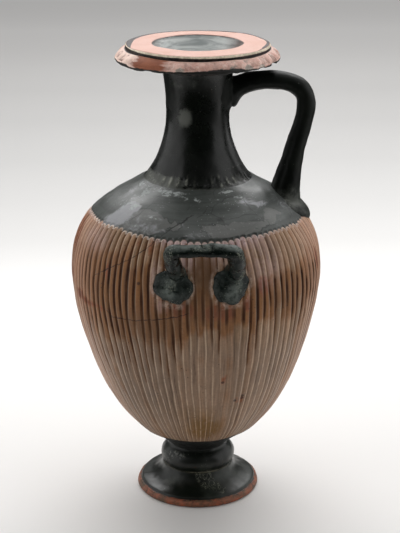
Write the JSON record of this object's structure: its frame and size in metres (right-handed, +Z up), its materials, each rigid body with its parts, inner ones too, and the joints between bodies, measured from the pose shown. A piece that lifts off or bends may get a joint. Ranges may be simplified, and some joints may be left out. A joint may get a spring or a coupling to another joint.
{
  "type": "hydria",
  "caption": "Ceramic hydria: ribbed ovoid body on a pedestal foot, slender neck, flat egg-and-dart mouth, one tall pouring handle and two side lifting handles on clay plates.",
  "frame": {"origin": "centre of the foot's resting ring, on the surface the jar stands on", "axes": "+Z up along the jar's axis, +X towards the pouring handle, +Y and -Y towards the two lifting handles"},
  "size_m": [0.2346, 0.3016, 0.44],
  "materials": {
    "foot_glaze": "glossy black glaze, reserved brown edge",
    "ribbed_slip": "worn brown slip over clay, black glaze on the shoulder",
    "neck_glaze": "glossy black glaze",
    "reserved_clay": "bare pink clay with black glazed margins",
    "handle_glaze": "glossy black glaze",
    "worn_glaze": "worn greenish black glaze with pale crust"
  },
  "bodies": {
    "root": {"foot": "foot_glaze", "body": "ribbed_slip", "neck": "neck_glaze", "mouth": "reserved_clay", "pouring_handle": "handle_glaze", "pouring_handle_pad": "handle_glaze", "front_lifting_handle": "worn_glaze", "front_left_plate": "worn_glaze", "front_right_plate": "worn_glaze", "rear_lifting_handle": "worn_glaze", "rear_left_plate": "worn_glaze", "rear_right_plate": "worn_glaze"}
  },
  "joints": []
}
